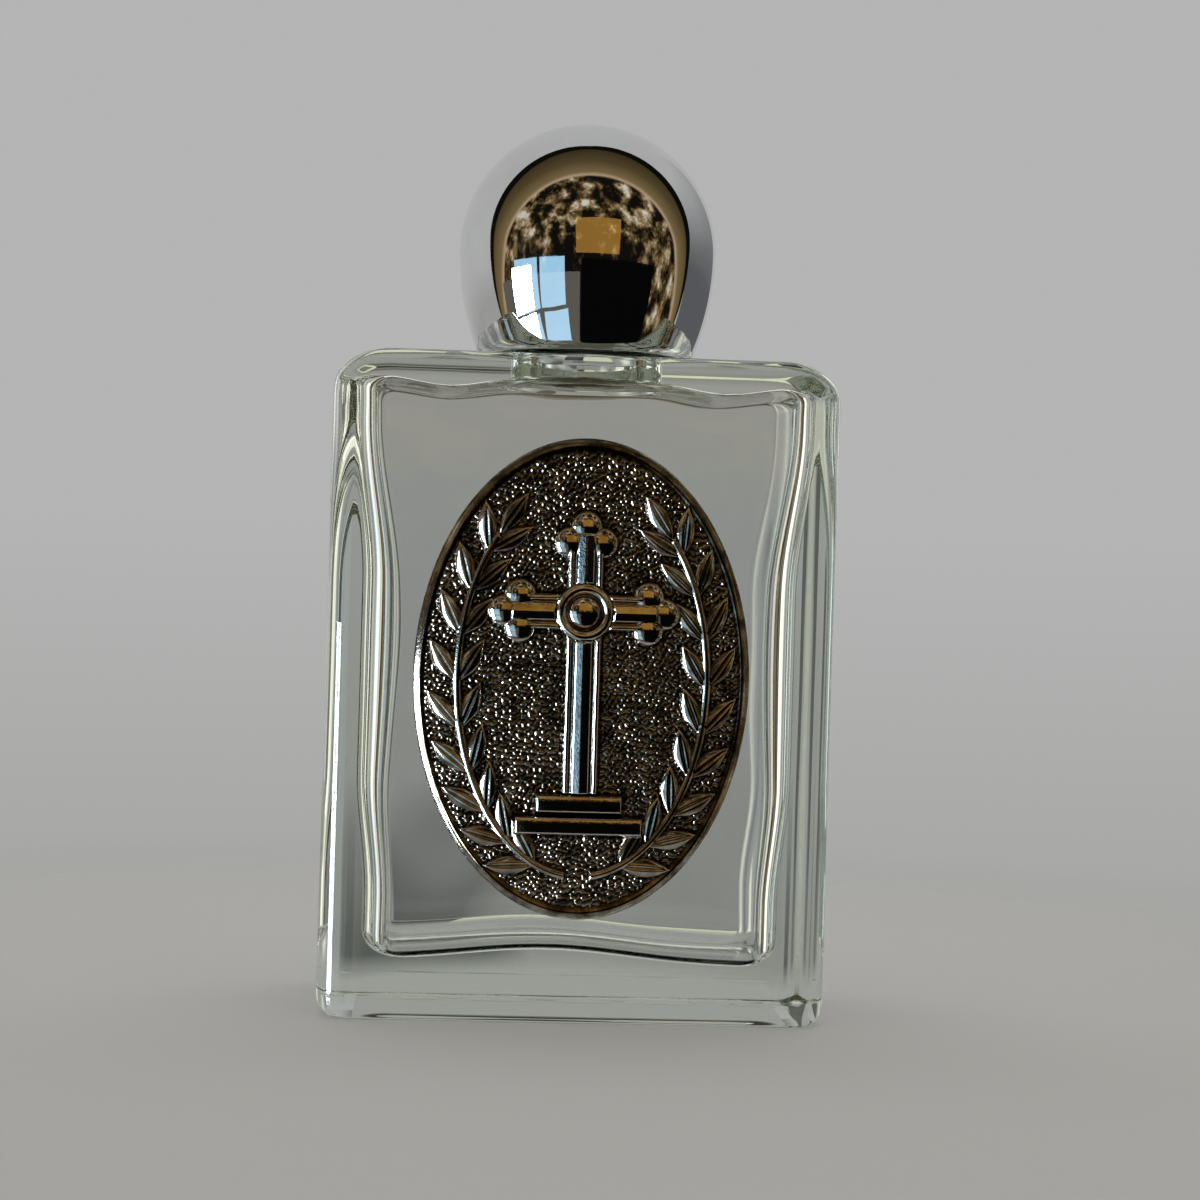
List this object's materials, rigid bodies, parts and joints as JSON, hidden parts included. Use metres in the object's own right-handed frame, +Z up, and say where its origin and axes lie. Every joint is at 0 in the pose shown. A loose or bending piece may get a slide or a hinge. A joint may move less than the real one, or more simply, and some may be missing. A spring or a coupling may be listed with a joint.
{
  "type": "holy water bottle",
  "caption": "Small clear glass flask for holy water, rectangular and thick-walled, with a chrome ball screw cap and an oval relief medallion on its front.",
  "frame": {"origin": "middle of the flat base, on the axis of the neck", "axes": "+Z up along the neck and the cap, -Y out of the front that carries the medallion, +X to the right seen from the front"},
  "size_m": [0.04, 0.0231, 0.0718],
  "materials": {
    "clear_glass": "clear, polished, slightly green in the thick parts",
    "chrome_plating": "mirror chrome on plastic",
    "insert_plastic": "moulded, satin",
    "liner_foam": "soft closed-cell foam",
    "antique_silver": "cast white metal with a dark patina and rubbed highlights",
    "adhesive": "clear, slightly yellow"
  },
  "bodies": {
    "bottle": {"glass_bottle": "clear_glass", "medallion": "antique_silver", "medallion_adhesive": "adhesive"},
    "liner": {"cap_liner": "liner_foam"},
    "cap": {"cap_shell": "chrome_plating", "cap_insert": "insert_plastic"}
  },
  "joints": [
    {"name": "cap_rise", "type": "slide", "parent": "bottle", "child": "liner", "axis": [0, 0, 1], "range_m": [0, 0.01485]},
    {"name": "cap_turn", "type": "hinge", "parent": "liner", "child": "cap", "pos_m": [0, 0, 0.0536], "axis": [0, 0, 1], "range_deg": [0, 2520]}
  ],
  "couplings": [
    {"joint": "cap_rise", "follows": "cap_turn", "m_per_rad": 0.00033741}
  ]
}
